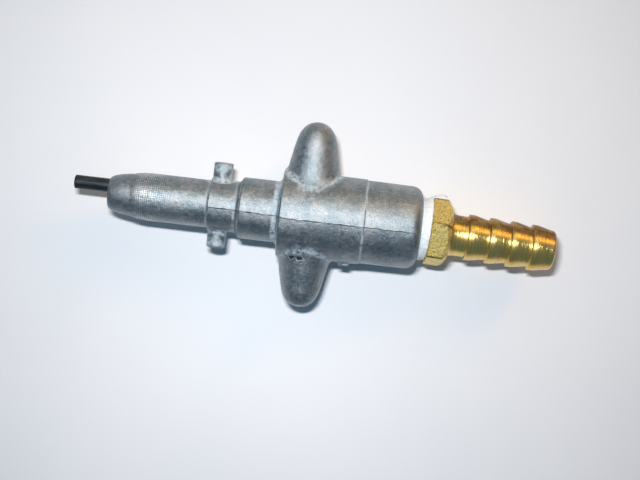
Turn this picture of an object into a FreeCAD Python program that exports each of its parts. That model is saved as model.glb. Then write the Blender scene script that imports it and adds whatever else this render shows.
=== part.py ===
"""Twist-lock fuel nozzle: a die-cast body with a spring-loaded valve rod and a screwed-in brass hose barb.

The nozzle's axis is X. The tip points to -X, the hose barb to +X, the two finger wings to +Y and -Y, and the
casting's parting plane is the XZ plane. The origin is on the axis, in the plane of the seat shoulder: the ring
face at the barrel's front that stops against the tank fitting. All sizes are in millimetres and degrees.
"""

import FreeCAD
import Part
import math
import os

V = FreeCAD.Vector
AXIS_X, AXIS_Y, AXIS_Z = V(1, 0, 0), V(0, 1, 0), V(0, 0, 1)
ORIGIN = V(0, 0, 0)

# ---------------------------------------------------------------- driving dimensions of the casting
# Points of the nose are (x, radius).
NOSE_TIP_X, NOSE_TIP_R = -40.3, 3.45  # front face of the nose and its flat
NOSE_CORNER_MIDDLE, NOSE_CORNER_END = (-40.06, 3.74), (-39.4, 4.12)  # the tip's rounded corner
NOSE_CONE_MIDDLE, NOSE_CONE_END = (-37.4, 4.67), (-35.0, 5.0)  # the slightly bulging cone behind it
NOSE_KNEE_END, NOSE_SHOULDER_MIDDLE = (-34.35, 5.2), (-32.8, 5.47)  # the knee where the turned band starts
NOSE_LAND_X, NOSE_R = -30.5, 5.6  # start and radius of the parallel stretch of the nose
COLLAR_X, COLLAR_R = -16.7, 6.05  # front face and radius of the lug collar
COLLAR_ROOT_R = 0.35  # fillet in front of the collar
COLLAR_EDGE = 0.25  # rounding of the collar's front edge
LAND_X, LAND_R = -9.4, 7.2  # front face and radius of the pilot land behind the collar
LAND_ROOT_R = 1.1  # fillet in front of the land
LAND_EDGE = 0.35  # chamfer on the land's front edge
SHOULDER_ROOT_R = 1.1  # fillet in the corner of the seat shoulder
BARREL_R, BARREL_FRONT_EDGE = 10.2, 0.25  # radius at the barrel's front, and the rounding of that edge
BARREL_STEP_X, BARREL_STEP_R = 19.6, 10.0  # where the die's sleeve begins, and the radius just before it
BARREL_STEP = 0.2  # height of the small step there
BARREL_TAIL_R = 9.7  # radius just before the rear corner
BARREL_REAR_X, BARREL_REAR_CORNER = 32.8, 2.6
WING_X = 6.67  # the wings' axis along the barrel
WING_TIP_Y, WING_FOOT_Y = 21.9, 6.5  # a wing's tip, and its foot inside the barrel
WING_R, WING_R_Y, WING_TAPER = 5.0, 16.0, 0.2  # half a wing's width at WING_R_Y, and how it grows inwards
WING_ROUND_Y, WING_BLUNTNESS = 12.0, 6.3  # where a wing starts to round over, and how late it does so
WING_ROOT_R = 0.2
LUG_X, LUG_R, LUG_TIP_Y = -14.3, 2.25, 10.0
LUG_EDGE, LUG_ROOT_R = 0.3, 0.5
FLASH_HEIGHT, FLASH_ANGLE = 0.1, 1.6  # ridge left on the parting line
GATE_X, GATE_LENGTH, GATE_WIDTH, GATE_HEIGHT = 16.2, 2.4, 3.0, 0.45  # stub of the casting gate

# ---------------------------------------------------------------- driving dimensions of the inside
ROD_R, ROD_Y = 1.6, 1.6  # valve rod, off the nozzle's axis towards +Y
ROD_TIP_X = -48.6
ROD_GUIDE_R = 1.65  # its hole in the end wall of the nose
END_WALL_X = -34.5  # inner face of that wall
OUTLET_MEAN_R, OUTLET_WIDTH, OUTLET_SPAN = 2.1, 1.5, 140.0  # kidney-shaped fuel outlet beside the rod
PASSAGE_R = 3.4
CHAMBER_X, CHAMBER_R = 4.0, 5.5
SEAT_RING_X0, SEAT_RING_R, SEAT_BORE_R = 2.0, 4.9, 3.3  # brass seat pressed into the casting
SEAT_LIP_X, SEAT_LIP_R0, SEAT_LIP_R1 = 4.6, 3.5, 4.0
GUIDE_X0, GUIDE_LENGTH = -4.5, 6.4  # acetal guide in the passage, held by the seat ring
GUIDE_CLEARANCE = 0.06
SEAL_X0, SEAL_THICKNESS, SEAL_R = 4.62, 1.2, 4.75
DISC_THICKNESS, DISC_BOSS, DISC_BOSS_R = 1.6, 0.8, 3.3
ROD_TAIL_R, ROD_TAIL_X = 1.05, 9.9
CLIP_THICKNESS, CLIP_R = 0.6, 1.9
SPRING_WIRE_R, SPRING_MEAN_R, SPRING_TURNS = 0.33, 4.02, 5.5
SPRING_SEAT_X, SPRING_SEAT_THICKNESS, SPRING_SEAT_R, SPRING_SEAT_HOLE_R = 17.0, 1.2, 5.42, 2.6
SPRING_SEAT_BOSS, SPRING_SEAT_BOSS_R = 0.7, 3.4
SNAP_WIRE_R, SNAP_MEAN_R, SNAP_GAP = 0.45, 5.5, 50.0
SNAP_GROOVE_X0, SNAP_GROOVE_WIDTH, SNAP_GROOVE_R = 18.25, 0.94, 6.0

# ---------------------------------------------------------------- driving dimensions of the hose barb
# The barb has a frame of its own: its axis u starts at PORT_PIVOT_X on the nozzle's axis and leans by PORT_LEAN.
PORT_PIVOT_X, PORT_LEAN = 27.3, -2.4
THREAD_PITCH, THREAD_TAPER = 1.411, 1 / 32  # 18 turns an inch, and the taper on the radius
THREAD_CREST_R, THREAD_DEPTH = 6.85, 0.85  # crest radius where u is THREAD_GAUGE_U
THREAD_GAUGE_U, THREAD_END_U = 6.0, -5.5
THREAD_TURNS = 8
PORT_BOTTOM_U = -6.9
PORT_GAP = 0.12  # between the two threads, which the sealing tape fills
TAPE_SKIN = 0.02  # kept clear on each side of the tape
TAPE_BULGE_R, TAPE_END_U = 7.5, 7.67
HEX_U0, HEX_U1, HEX_FLATS = 7.75, 12.55, 14.29  # 9/16 inch across flats
HEX_CORNER_ANGLE = 9.5  # one corner, from +Y towards +Z
HEX_FRONT_EDGE, HEX_FACE_R, HEX_CHAMFER = 0.25, 6.2, 35.0  # front corners, rear face and the bevel round it
NECK_R = 6.0
TAIL_ROOT_R, TAIL_SMALL_R, TAIL_CREST_R = 4.76, 4.66, 5.37
TAIL_FIRST_CREST_U, TAIL_PITCH, TAIL_CRESTS = 16.75, 5.0, 4
TAIL_CREST_RISE, TAIL_CREST_LAND = 0.12, 1.3  # length of a barb's steep side and of its flat top
TAIL_END_U, TAIL_END_EDGE = 37.3, 0.85
TAIL_BORE_R = 3.5


# ---------------------------------------------------------------- helpers
def line(a, b):
    return Part.LineSegment(V(*a, 0), V(*b, 0)).toShape()


def arc(a, b, c):
    return Part.Arc(V(*a, 0), V(*b, 0), V(*c, 0)).toShape()


def spin(edges, angle=360.0):
    """The solid that a closed outline in the upper XY half plane makes when it turns about X."""
    return Part.Face(Part.Wire(edges)).revolve(ORIGIN, AXIS_X, angle)


def outline(points):
    """Straight edges through (x, r) points, closed."""
    return [line(a, b) for a, b in zip(points, points[1:] + points[:1])]


def rod(x0, x1, r, y=0.0):
    return Part.makeCylinder(r, x1 - x0, V(x0, y, 0), AXIS_X)


def round_corner(corner, start, end):
    """A quarter arc from start to end, both as far from the corner along straight edges that meet square."""
    radius = math.dist(corner, start)
    centre = (start[0] + end[0] - corner[0], start[1] + end[1] - corner[1])
    pull = radius / math.dist(centre, corner)
    middle = tuple(c + (k - c) * pull for c, k in zip(centre, corner))
    return arc(start, middle, end)


def kidney(x0, x1, width, mean_r=OUTLET_MEAN_R, span=OUTLET_SPAN):
    """A curved slot round the axis, centred on -Y, from x0 to x1."""
    half = math.radians(span / 2)
    inner, outer = mean_r - width / 2, mean_r + width / 2

    def at(r, angle):
        return V(x0, -r * math.cos(angle), r * math.sin(angle))

    def end_cap(angle, side):
        middle = at(mean_r, angle)
        tangent = V(0, math.sin(angle), math.cos(angle)) * side
        return middle + tangent * (width / 2)

    edges = [
        Part.Arc(at(outer, -half), at(outer, 0), at(outer, half)).toShape(),
        Part.Arc(at(outer, half), end_cap(half, 1), at(inner, half)).toShape(),
        Part.Arc(at(inner, half), at(inner, 0), at(inner, -half)).toShape(),
        Part.Arc(at(inner, -half), end_cap(-half, -1), at(outer, -half)).toShape(),
    ]
    return Part.Face(Part.Wire(edges)).extrude(V(x1 - x0, 0, 0))


def lean(shape):
    """Moves a shape made along u to its place on the leaning axis of the port."""
    shape.translate(V(PORT_PIVOT_X, 0, 0))
    shape.rotate(V(PORT_PIVOT_X, 0, 0), AXIS_Z, PORT_LEAN)
    return shape


def one_solid(shape):
    """The only solid of a boolean's result, with seams between equal faces removed."""
    clean = shape.removeSplitter()
    assert len(clean.Solids) == 1, f"{len(clean.Solids)} solids where one was meant"
    assert clean.isValid()
    return clean.Solids[0]


# ---------------------------------------------------------------- casting
def casting_outline(grow=0.0, start_x=None):
    """The casting's outer half section from tip to tail, closed along the axis."""
    fillet, chamfer = SHOULDER_ROOT_R, LAND_EDGE
    nose, collar, land, barrel = (r + grow for r in (NOSE_R, COLLAR_R, LAND_R, BARREL_R))
    before_step, tail = BARREL_STEP_R + grow, BARREL_TAIL_R + grow
    rear_x, corner = BARREL_REAR_X, BARREL_REAR_CORNER
    edges = []
    if start_x is None:
        edges += [
            line((NOSE_TIP_X, 0), (NOSE_TIP_X, NOSE_TIP_R)),
            arc((NOSE_TIP_X, NOSE_TIP_R), NOSE_CORNER_MIDDLE, NOSE_CORNER_END),
            arc(NOSE_CORNER_END, NOSE_CONE_MIDDLE, NOSE_CONE_END),
            line(NOSE_CONE_END, NOSE_KNEE_END),
            arc(NOSE_KNEE_END, NOSE_SHOULDER_MIDDLE, (NOSE_LAND_X, nose)),
            line((NOSE_LAND_X, nose), (COLLAR_X - COLLAR_ROOT_R, nose)),
            round_corner(
                (COLLAR_X, nose), (COLLAR_X - COLLAR_ROOT_R, nose), (COLLAR_X, nose + COLLAR_ROOT_R)
            ),
        ]
        edges.append(line((COLLAR_X, nose + COLLAR_ROOT_R), (COLLAR_X + 0.1, collar)))
        collar_start = (COLLAR_X + 0.1, collar)
    else:
        edges.append(line((start_x, 0), (start_x, collar)))
        collar_start = (start_x, collar)
    edges += [
        line(collar_start, (LAND_X - LAND_ROOT_R, collar)),
        round_corner(
            (LAND_X, collar), (LAND_X - LAND_ROOT_R, collar), (LAND_X, collar + LAND_ROOT_R)
        ),
        line((LAND_X, collar + LAND_ROOT_R), (LAND_X + chamfer, land)),
        line((LAND_X + chamfer, land), (-fillet, land)),
        round_corner((0, land), (-fillet, land), (0, land + fillet)),
        line((0, land + fillet), (0, barrel - BARREL_FRONT_EDGE)),
        round_corner(
            (0, barrel), (0, barrel - BARREL_FRONT_EDGE), (BARREL_FRONT_EDGE, barrel)
        ),
        line((BARREL_FRONT_EDGE, barrel), (BARREL_STEP_X - 0.15, before_step)),
        line((BARREL_STEP_X - 0.15, before_step), (BARREL_STEP_X, before_step - BARREL_STEP)),
        line((BARREL_STEP_X, before_step - BARREL_STEP), (rear_x - corner, tail)),
        round_corner((rear_x, tail), (rear_x - corner, tail), (rear_x, tail - corner)),
        line((rear_x, tail - corner), (rear_x, 0)),
        line((rear_x, 0), (start_x if start_x is not None else NOSE_TIP_X, 0)),
    ]
    return edges


def wing_half_width(y):
    """Half a wing's width at a distance y from the nozzle's axis: a slight taper that rounds over to the tip."""
    straight = WING_R + WING_TAPER * (WING_R_Y - y)
    into_round = max(0.0, (y - WING_ROUND_Y) / (WING_TIP_Y - WING_ROUND_Y))
    return straight * math.sqrt(1 - into_round ** WING_BLUNTNESS)


def wing(side):
    """A blunt round finger wing that stands out of the barrel along +Y or -Y."""
    steps = 16
    reach = WING_TIP_Y - WING_FOOT_Y
    heights = [WING_TIP_Y - reach * (step / steps) ** 2 for step in range(steps + 1)]
    flank = Part.BSplineCurve()
    flank.interpolate([V(wing_half_width(y), y, 0) for y in heights])
    foot_r = wing_half_width(WING_FOOT_Y)
    half = [
        flank.toShape(),
        line((foot_r, WING_FOOT_Y), (0, WING_FOOT_Y)),
        line((0, WING_FOOT_Y), (0, WING_TIP_Y)),
    ]
    solid = Part.Face(Part.Wire(half)).revolve(ORIGIN, AXIS_Y, 360)
    solid.translate(V(WING_X, 0, 0))
    return solid if side > 0 else solid.mirror(ORIGIN, AXIS_Y)


def lug(side):
    """A round bayonet lug with a rounded outer edge, and a flared root that stays behind the collar's front."""
    foot_y, flare_r = COLLAR_R, LUG_R + LUG_ROOT_R
    edges = [
        line((0, 0), (flare_r, 0)),
        line((flare_r, 0), (flare_r, foot_y)),
        round_corner((LUG_R, foot_y), (flare_r, foot_y), (LUG_R, foot_y + LUG_ROOT_R)),
        line((LUG_R, foot_y + LUG_ROOT_R), (LUG_R, LUG_TIP_Y - LUG_EDGE)),
        line((LUG_R, LUG_TIP_Y - LUG_EDGE), (LUG_R - LUG_EDGE, LUG_TIP_Y)),
        line((LUG_R - LUG_EDGE, LUG_TIP_Y), (0, LUG_TIP_Y)),
        line((0, LUG_TIP_Y), (0, 0)),
    ]
    peg = Part.Face(Part.Wire(edges)).revolve(ORIGIN, AXIS_Y, 360)
    peg.translate(V(LUG_X, 0, 0))
    behind_front = Part.makeBox(10, 40, 40, V(COLLAR_X + 0.02, -20, -20))
    peg = peg.common(behind_front)
    return peg if side > 0 else peg.mirror(ORIGIN, AXIS_Y)


def barrel_radius(x):
    """The radius of the tapered front stretch of the barrel."""
    return BARREL_R + (BARREL_STEP_R - BARREL_R) * (x - BARREL_FRONT_EDGE) / (BARREL_STEP_X - BARREL_FRONT_EDGE)


def wing_root_edges(shape):
    """The edges where the wings grow out of the barrel."""
    widest = wing_half_width(WING_FOOT_Y)
    found = []
    for edge in shape.Edges:
        if edge.Degenerated:
            continue
        points = edge.discretize(9)
        on_barrel = all(abs(math.hypot(p.y, p.z) - barrel_radius(p.x)) < 0.02 for p in points)
        near_wing = all(abs(p.x - WING_X) < widest and abs(p.y) > WING_FOOT_Y for p in points)
        if on_barrel and near_wing:
            found.append(edge)
    return found


def parting_flash(side):
    """A thin ridge along the casting's outline in the parting plane."""
    ridge = spin(casting_outline(FLASH_HEIGHT, COLLAR_X + 0.3), FLASH_ANGLE)
    ridge.rotate(ORIGIN, AXIS_X, 90 * side - FLASH_ANGLE / 2)
    return ridge


def thread_outline(gap, first_u, last_u):
    """(u, r) points of the tapered thread's rings, grown outwards by gap, from last_u down to first_u."""
    points = [(last_u, THREAD_CREST_R + gap + (last_u - THREAD_GAUGE_U) * THREAD_TAPER)]
    for turn in range(THREAD_TURNS):
        crest_u = THREAD_GAUGE_U - 0.9 - turn * THREAD_PITCH
        for offset, depth in ((0.12, 0), (-0.12, 0), (-0.6, THREAD_DEPTH), (-0.81, THREAD_DEPTH)):
            u = crest_u + offset
            r = THREAD_CREST_R + gap - depth + (u - THREAD_GAUGE_U) * THREAD_TAPER
            points.append((u, r))
    points.append((first_u, points[-1][1]))
    return points


def port_tool():
    """What the tapered port takes out of the casting: thread rings, lead-in and run-out."""
    rings = thread_outline(PORT_GAP, PORT_BOTTOM_U, THREAD_GAUGE_U - 0.5)
    mouth = [(THREAD_GAUGE_U + 2, 0), (THREAD_GAUGE_U + 2, 7.9), (THREAD_GAUGE_U - 0.5, rings[0][1])]
    return lean(spin(outline(mouth + rings[1:] + [(PORT_BOTTOM_U, 0)])))


def make_nozzle_body():
    body = spin(casting_outline())
    body = body.fuse([wing(1), wing(-1)])
    body = one_solid(body)
    body = body.makeFillet(WING_ROOT_R, wing_root_edges(body))
    gate = Part.makeBox(
        GATE_LENGTH, BARREL_R + GATE_HEIGHT, GATE_WIDTH,
        V(GATE_X - GATE_LENGTH / 2, -BARREL_R - GATE_HEIGHT, -GATE_WIDTH / 2),
    )
    gate = gate.makeFillet(0.35, [e for e in gate.Edges if e.CenterOfMass.y < -BARREL_R + 0.1])
    body = body.fuse([lug(1), lug(-1), gate, parting_flash(1), parting_flash(-1)])
    inside = rod(END_WALL_X, CHAMBER_X, PASSAGE_R).fuse(
        [
            rod(SEAT_RING_X0, CHAMBER_X, SEAT_RING_R),
            rod(CHAMBER_X, PORT_PIVOT_X + PORT_BOTTOM_U + 0.8, CHAMBER_R),
            rod(SNAP_GROOVE_X0, SNAP_GROOVE_X0 + SNAP_GROOVE_WIDTH, SNAP_GROOVE_R),
            rod(NOSE_TIP_X - 1, END_WALL_X + 0.1, ROD_GUIDE_R, ROD_Y),
            kidney(NOSE_TIP_X - 1, END_WALL_X + 0.1, OUTLET_WIDTH),
            port_tool(),
        ]
    )
    return one_solid(body.cut(inside))


# ---------------------------------------------------------------- valve
def make_valve_seat():
    """Brass ring with a narrow raised lip that the rubber washer closes on."""
    return spin(
        outline(
            [
                (SEAT_RING_X0, SEAT_BORE_R),
                (SEAT_LIP_X, SEAT_BORE_R),
                (SEAT_LIP_X, SEAT_LIP_R1 - 0.15),
                (CHAMBER_X + 0.15, SEAT_LIP_R1 + 0.15),
                (CHAMBER_X, SEAT_RING_R),
                (SEAT_RING_X0, SEAT_RING_R),
            ]
        )
    )


def make_rod_guide():
    """Acetal plug in the passage: one close hole for the rod and a curved slot for the fuel."""
    x1 = GUIDE_X0 + GUIDE_LENGTH
    plug = rod(GUIDE_X0, x1, PASSAGE_R - 0.01)
    hole = rod(GUIDE_X0 - 1, x1 + 1, ROD_R + GUIDE_CLEARANCE, ROD_Y)
    return one_solid(plug.cut([hole, kidney(GUIDE_X0 - 1, x1 + 1, OUTLET_WIDTH)]))


def make_valve_rod():
    """Off-centre push rod with a bevelled tip and a stepped tail for the washer, disc and clip."""
    tip_bevel, tail_bevel = 0.35, 0.2
    shaft = spin(
        outline(
            [
                (ROD_TIP_X, 0),
                (ROD_TIP_X, ROD_R - tip_bevel),
                (ROD_TIP_X + tip_bevel, ROD_R),
                (SEAL_X0, ROD_R),
                (SEAL_X0, ROD_TAIL_R),
                (ROD_TAIL_X - tail_bevel, ROD_TAIL_R),
                (ROD_TAIL_X, ROD_TAIL_R - tail_bevel),
                (ROD_TAIL_X, 0),
            ]
        )
    )
    shaft.translate(V(0, ROD_Y, 0))
    return shaft


def disc_start():
    return SEAL_X0 + SEAL_THICKNESS


def spring_start():
    return disc_start() + DISC_THICKNESS


def make_seal_washer():
    washer = rod(SEAL_X0, disc_start(), SEAL_R)
    return one_solid(washer.cut(rod(0, 10, ROD_TAIL_R, ROD_Y)))


def make_valve_disc():
    """Brass backing disc with a boss that centres the spring."""
    disc = rod(disc_start(), spring_start(), SEAL_R)
    rim = [e for e in disc.Edges if abs(e.CenterOfMass.x - spring_start()) < 1e-6]
    disc = disc.makeChamfer(0.2, rim)
    boss = rod(spring_start() - 0.1, spring_start() + DISC_BOSS, DISC_BOSS_R)
    return one_solid(disc.fuse(boss).cut(rod(0, 12, ROD_TAIL_R, ROD_Y)))


def make_rod_clip():
    """Push-on ring with four teeth slots that holds the disc on the rod's tail."""
    x0 = spring_start() + DISC_BOSS
    ring = rod(x0, x0 + CLIP_THICKNESS, CLIP_R, ROD_Y)
    cuts = [rod(x0 - 1, x0 + 2, ROD_TAIL_R, ROD_Y)]
    for quarter in range(4):
        slot = Part.makeBox(3, 0.5, 0.34, V(x0 - 1, ROD_Y + ROD_TAIL_R - 0.1, -0.17))
        slot.rotate(V(0, ROD_Y, 0), AXIS_X, 45 + 90 * quarter)
        cuts.append(slot)
    return one_solid(ring.cut(cuts))


def make_return_spring():
    """Cylindrical compression spring between the valve disc and the spring seat."""
    x0 = spring_start() + SPRING_WIRE_R + 0.02
    x1 = SPRING_SEAT_X - SPRING_WIRE_R - 0.02
    helix = Part.makeHelix((x1 - x0) / SPRING_TURNS, x1 - x0, SPRING_MEAN_R)
    section = Part.Wire(Part.makeCircle(SPRING_WIRE_R, V(SPRING_MEAN_R, 0, 0), AXIS_Y))
    coil = Part.Wire(helix).makePipeShell([section], True, True)
    coil.rotate(ORIGIN, AXIS_Y, 90)
    coil.translate(V(x0, 0, 0))
    return coil


def make_spring_seat():
    """Perforated disc behind the spring, with rim notches and a centre hole for the fuel."""
    x0, x1 = SPRING_SEAT_X, SPRING_SEAT_X + SPRING_SEAT_THICKNESS
    disc = rod(x0, x1, SPRING_SEAT_R).fuse(rod(x0 - SPRING_SEAT_BOSS, x0 + 0.1, SPRING_SEAT_BOSS_R))
    cuts = [rod(x0 - 2, x1 + 1, SPRING_SEAT_HOLE_R)]
    for step in range(6):
        angle = math.radians(30 + 60 * step)
        notch_r = SPRING_SEAT_R + 0.15
        centre = V(x0 - 1, notch_r * math.cos(angle), notch_r * math.sin(angle))
        cuts.append(Part.makeCylinder(0.75, 4, centre, AXIS_X))
    return one_solid(disc.cut(cuts))


def make_snap_ring():
    """Round-wire ring sprung into the chamber's groove."""
    ring = Part.makeTorus(
        SNAP_MEAN_R, SNAP_WIRE_R, V(0, 0, 0), AXIS_Z, -180, 180, 360 - SNAP_GAP
    )
    ring.rotate(ORIGIN, AXIS_Y, 90)
    ring.translate(V(SNAP_GROOVE_X0 + SNAP_GROOVE_WIDTH / 2, 0, 0))
    return ring


# ---------------------------------------------------------------- hose barb and tape
def barb_points():
    """(u, r) points of the hose tail from the hexagon to its rounded end."""
    points = [(HEX_U1, TAIL_ROOT_R)]
    for step in range(TAIL_CRESTS):
        crest_u = TAIL_FIRST_CREST_U + step * TAIL_PITCH
        foot_r = TAIL_ROOT_R if step == 0 else TAIL_SMALL_R
        points += [
            (crest_u - TAIL_CREST_RISE, foot_r),
            (crest_u, TAIL_CREST_R),
            (crest_u + TAIL_CREST_LAND, TAIL_CREST_R),
        ]
    for share in (0, 1 / 4, 1 / 2, 3 / 4, 1):
        turn = math.radians(90 * share)
        along, inward = TAIL_END_EDGE * (1 - math.sin(turn)), TAIL_END_EDGE * (1 - math.cos(turn))
        points.append((TAIL_END_U - along, TAIL_SMALL_R - inward))
    return points


def hexagon():
    """The spanner hexagon, with lightly bevelled front corners and a round rear face inside a bevel."""
    corner_r = HEX_FLATS / 2 / math.cos(math.radians(30))
    corners = []
    for step in range(7):
        angle = math.radians(HEX_CORNER_ANGLE + 60 * step)
        corners.append(V(HEX_U0, corner_r * math.cos(angle), corner_r * math.sin(angle)))
    prism = Part.Face(Part.makePolygon(corners)).extrude(V(HEX_U1 - HEX_U0, 0, 0))
    outer_r = corner_r + HEX_FRONT_EDGE
    bevel_length = (outer_r - HEX_FACE_R) * math.tan(math.radians(HEX_CHAMFER))
    bevelled = [
        (HEX_U0, 0),
        (HEX_U0, corner_r - HEX_FRONT_EDGE),
        (HEX_U0 + 2 * HEX_FRONT_EDGE, outer_r),
        (HEX_U1 - bevel_length, outer_r),
        (HEX_U1, HEX_FACE_R),
        (HEX_U1, 0),
    ]
    return prism.common(spin(outline(bevelled)))


def make_hose_barb():
    """Brass adaptor: tapered thread, hexagon and a hose tail with four barbs, bored through."""
    start_r = THREAD_CREST_R - THREAD_DEPTH + (THREAD_END_U - THREAD_GAUGE_U) * THREAD_TAPER
    rings = thread_outline(0, THREAD_END_U + 0.5, THREAD_GAUGE_U)[::-1]
    shank = [(THREAD_END_U, 0), (THREAD_END_U, start_r - 0.25)] + rings
    shank += [(THREAD_GAUGE_U + 0.3, NECK_R), (HEX_U0, NECK_R)]
    turned = spin(outline(shank + barb_points() + [(TAIL_END_U, 0)]))
    bore = rod(THREAD_END_U - 1, TAIL_END_U + 1, TAIL_BORE_R)
    return lean(one_solid(turned.fuse(hexagon()).cut(bore)))


def make_sealing_tape(body):
    """Tape in the thread's gap, with the squeezed-out roll between the barrel and the hexagon."""
    inner = thread_outline(TAPE_SKIN, THREAD_END_U + 1.2, THREAD_GAUGE_U)
    outer = thread_outline(PORT_GAP - TAPE_SKIN, THREAD_END_U + 1.2, THREAD_GAUGE_U - 0.5)
    roll = [
        (THREAD_GAUGE_U - 0.3, TAPE_BULGE_R - 0.2),
        (THREAD_GAUGE_U + 0.4, TAPE_BULGE_R),
        (TAPE_END_U - 0.3, TAPE_BULGE_R),
        (TAPE_END_U, TAPE_BULGE_R - 0.25),
        (TAPE_END_U, NECK_R + TAPE_SKIN),
        (THREAD_GAUGE_U + 0.32, NECK_R + TAPE_SKIN),
    ]
    tape = lean(spin(outline(outer[::-1] + roll + inner)))
    return one_solid(tape.cut(body))


# ---------------------------------------------------------------- export
def main():
    os.makedirs("parts", exist_ok=True)
    body = make_nozzle_body()
    parts = {
        "nozzle_body": body,
        "valve_seat": make_valve_seat(),
        "rod_guide": make_rod_guide(),
        "valve_rod": make_valve_rod(),
        "seal_washer": make_seal_washer(),
        "valve_disc": make_valve_disc(),
        "rod_clip": make_rod_clip(),
        "return_spring": make_return_spring(),
        "spring_seat": make_spring_seat(),
        "snap_ring": make_snap_ring(),
        "hose_barb": make_hose_barb(),
        "sealing_tape": make_sealing_tape(body),
    }
    for name, shape in parts.items():
        print(f"{name}: valid {shape.isValid()}, solids {len(shape.Solids)}, {shape.Volume:.1f} mm3")
        shape.exportStep(f"parts/{name}.step")


main()
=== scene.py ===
"""How the twist-lock fuel nozzle looks: a dull zinc casting, a brass hose barb, thread tape and a black rod.

The nozzle lies on its side on a pale floor. Its tip points to -X, the hose barb to +X and the wings to
+Y and -Y. Shapes are worked out in millimetres and become metres when a mesh is made.
"""

import math

import bpy
import numpy as np
from mathutils import Matrix, Vector


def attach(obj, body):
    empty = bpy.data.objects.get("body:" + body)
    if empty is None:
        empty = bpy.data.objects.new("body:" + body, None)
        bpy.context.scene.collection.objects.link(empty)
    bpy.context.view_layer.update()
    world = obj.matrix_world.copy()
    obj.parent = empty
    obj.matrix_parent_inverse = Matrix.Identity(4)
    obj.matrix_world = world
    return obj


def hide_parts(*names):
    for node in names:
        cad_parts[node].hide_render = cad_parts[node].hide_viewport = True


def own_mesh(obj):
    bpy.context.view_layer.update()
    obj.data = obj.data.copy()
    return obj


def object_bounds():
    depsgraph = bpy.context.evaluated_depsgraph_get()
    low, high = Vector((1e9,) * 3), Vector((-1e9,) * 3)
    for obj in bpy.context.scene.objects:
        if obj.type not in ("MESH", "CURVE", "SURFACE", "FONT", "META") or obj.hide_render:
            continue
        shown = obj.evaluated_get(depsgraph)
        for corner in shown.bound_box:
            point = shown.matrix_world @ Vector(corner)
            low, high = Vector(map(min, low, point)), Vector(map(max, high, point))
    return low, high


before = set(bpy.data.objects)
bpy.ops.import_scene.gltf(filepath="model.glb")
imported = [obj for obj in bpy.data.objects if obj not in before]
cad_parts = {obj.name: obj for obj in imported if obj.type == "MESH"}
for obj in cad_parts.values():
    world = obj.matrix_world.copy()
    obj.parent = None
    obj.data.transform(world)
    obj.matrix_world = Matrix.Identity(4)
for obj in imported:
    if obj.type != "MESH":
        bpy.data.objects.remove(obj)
CAD_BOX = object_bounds()
MM = 0.001

# ------------------------------ the casting, close to the CAD but with finer relief
NOSE_TIP_X, NOSE_TIP_R = -40.3, 3.45
NOSE_CORNER = ((-40.06, 3.74), (-39.4, 4.12))
NOSE_CONE = ((-38.4, 4.43), (-37.4, 4.66), (-36.2, 4.86), (-35.0, 5.0))
NOSE_KNEE = ((-34.7, 5.06), (-34.35, 5.2), (-33.5, 5.38), (-32.5, 5.51), (-31.5, 5.58))
NOSE_LAND_X, NOSE_R = -30.5, 5.6
COLLAR_X, COLLAR_R = -16.7, 6.05
LAND_X, LAND_R, LAND_FILLET = -9.4, 7.2, 1.1
BARREL_R, BARREL_STEP_R, BARREL_TAIL_R = 10.2, 10.0, 9.7
BARREL_FRONT_FILLET, BARREL_STEP_X, BARREL_STEP = 1.1, 19.6, 0.2
BARREL_REAR_X, BARREL_REAR_CORNER = 32.8, 2.6
WING_X, WING_TIP_Y = 6.67, 21.9
WING_R, WING_R_Y, WING_TAPER = 5.0, 16.0, 0.2
WING_ROUND_Y, WING_BLUNTNESS = 12.0, 6.3
WING_FILLET, WING_FOOT_OFFSET, WING_FOOT_WIDTH = 1.0, 0.4, 2.0
LUG_X, LUG_R, LUG_TIP_Y = -14.3, 2.25, 10.0
LUG_FILLET, LUG_FOOT_WIDTH = 0.5, 0.7
GATE_CENTRE, GATE_SIZE, GATE_EDGE, GATE_FILLET = (16.0, -9.75, 0.4), (1.3, 0.9, 1.5), 0.35, 0.5
PITS = ((3.7, -9.5, 0.34), (4.3, -9.35, 0.2), (5.5, -9.45, 0.4), (6.1, -9.4, 0.3))  # x, y, radius
FLASH_HEIGHT, FLASH_WIDTH, FLASH_END_X = 0.07, 0.11, 29.5
RING_HEIGHT, RING_WIDTH, RING_STAIN_WIDTH = 0.8, 0.14, 0.3  # the height is a share of the flash's
UNEVENNESS = 0.022
DRAFT_HEIGHT, DRAFT_WIDTH = 0.11, 1.5  # how the two halves of the casting peak along the parting line

# ------------------------------ the inside, close to the CAD; the spring's end turns are closed
ROD_Y, ROD_R, ROD_GUIDE_R = 1.6, 1.6, 1.65
ROD_TIP_X, ROD_SHOULDER_X, ROD_TAIL_X, ROD_TAIL_R = -48.6, 4.62, 9.9, 1.05
END_WALL_X = -34.5
END_WALL_CUT = (NOSE_TIP_X - 1, END_WALL_X + 0.5)  # from in front of the nose to behind its end wall
CUT_STEP = 0.001  # the length over which a cutting tool's radius steps
OUTLET_R, OUTLET_WIDTH, OUTLET_SPAN = 2.1, 1.5, 140.0
PASSAGE_R, CHAMBER_R = 3.4, 5.5
SEAT_X, SEAT_R, CHAMBER_X = 2.0, 4.9, 4.0
SNAP_X, SNAP_WIDTH, SNAP_R = 18.25, 0.94, 6.0
PORT_PIVOT_X, PORT_LEAN = 27.3, -2.4
PORT_BOTTOM_U, PORT_R, PORT_MOUTH_R = -6.9, 7.02, 7.25
PORT_TAPER, PORT_MOUTH_DEPTH, PORT_TOOL_R = 0.4, 0.8, 8.1
SPRING_X0, SPRING_X1, SPRING_R, SPRING_WIRE_R, SPRING_TURNS = 7.44, 16.98, 4.02, 0.33, 6.5

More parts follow.
